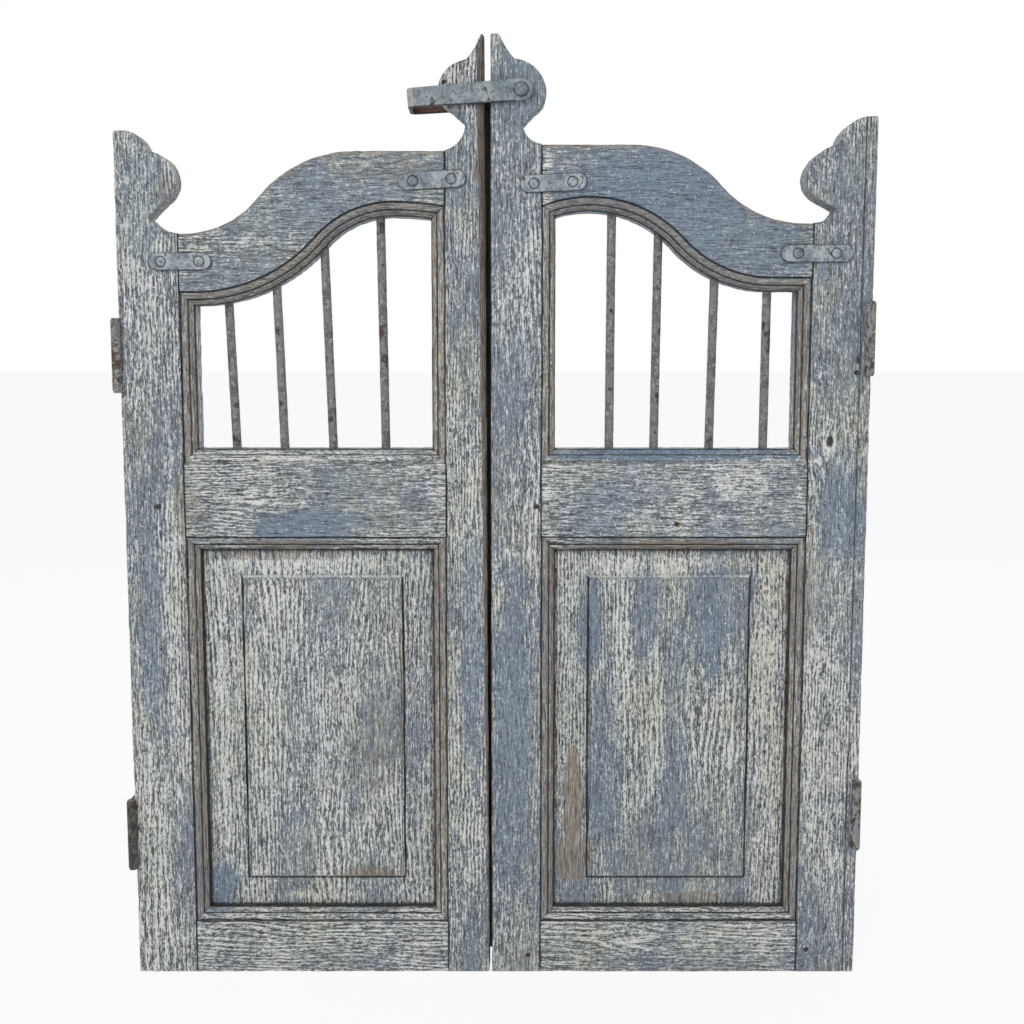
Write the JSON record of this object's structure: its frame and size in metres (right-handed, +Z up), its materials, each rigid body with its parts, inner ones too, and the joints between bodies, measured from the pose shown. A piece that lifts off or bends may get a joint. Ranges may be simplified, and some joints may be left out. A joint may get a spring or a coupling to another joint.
{
  "type": "pair of wooden cafe door leaves",
  "caption": "Pair of old painted cafe door leaves with scrolled stiles, iron bars, raised panels, butt hinges and a flip-over iron latch loop.",
  "frame": {"origin": "level with the foot of the leaves, midway between the outermost hinge knuckles, at mid thickness", "axes": "+X to the right along the doorway seen from the front, +Y from the front face to the back face, +Z up"},
  "size_m": [0.862, 0.0572, 1.084],
  "materials": {
    "painted_wood": "worn chalky paint",
    "bare_wood": "weathered",
    "bar_iron": "worn paint over rust",
    "painted_iron": "worn paint",
    "latch_iron": "worn paint over bare iron",
    "rusty_iron": "rusty"
  },
  "bodies": {
    "hinge_frame_side": {"left_lower_hinge_frame_plate": "rusty_iron", "left_upper_hinge_frame_plate": "rusty_iron", "left_lower_hinge_pin": "rusty_iron", "left_upper_hinge_pin": "rusty_iron", "right_lower_hinge_frame_plate": "rusty_iron", "right_upper_hinge_frame_plate": "rusty_iron", "right_lower_hinge_pin": "rusty_iron", "right_upper_hinge_pin": "rusty_iron"},
    "left_leaf": {"left_hinge_stile": "painted_wood", "left_meeting_stile": "painted_wood", "left_top_rail": "painted_wood", "left_lock_rail": "painted_wood", "left_bottom_rail": "painted_wood", "left_panel": "painted_wood", "left_hinge_strap": "painted_iron", "left_meeting_strap": "painted_iron", "left_strap_screws": "rusty_iron", "left_nails": "rusty_iron", "left_hinge_screws": "rusty_iron", "left_bar_1": "bar_iron", "left_bar_2": "bar_iron", "left_bar_3": "bar_iron", "left_bar_4": "bar_iron", "left_lower_hinge_leaf_plate": "rusty_iron", "left_upper_hinge_leaf_plate": "rusty_iron"},
    "right_leaf": {"right_hinge_stile": "painted_wood", "right_meeting_stile": "painted_wood", "right_top_rail": "painted_wood", "right_lock_rail": "painted_wood", "right_bottom_rail": "painted_wood", "right_panel": "painted_wood", "right_hinge_strap": "painted_iron", "right_meeting_strap": "painted_iron", "right_strap_screws": "rusty_iron", "right_nails": "rusty_iron", "right_hinge_screws": "rusty_iron", "right_bar_1": "bar_iron", "right_bar_2": "bar_iron", "right_bar_3": "bar_iron", "right_bar_4": "bar_iron", "right_lower_hinge_leaf_plate": "rusty_iron", "right_upper_hinge_leaf_plate": "rusty_iron", "latch_bolt": "latch_iron", "cover_strip": "bare_wood", "cover_strip_nails": "rusty_iron"},
    "latch": {"latch_loop": "latch_iron"}
  },
  "joints": [
    {"name": "left_swing", "type": "hinge", "parent": "hinge_frame_side", "child": "left_leaf", "pos_m": [-0.4255, -0.022, 0], "axis": [0, 0, -1], "range_deg": [0, 170]},
    {"name": "right_swing", "type": "hinge", "parent": "hinge_frame_side", "child": "right_leaf", "pos_m": [0.4255, -0.022, 0], "axis": [0, 0, 1], "range_deg": [0, 170]},
    {"name": "latch_flip", "type": "hinge", "parent": "right_leaf", "child": "latch", "pos_m": [0.0315, 0, 1.023], "axis": [0, 1, 0], "range_deg": [0, 203]}
  ]
}
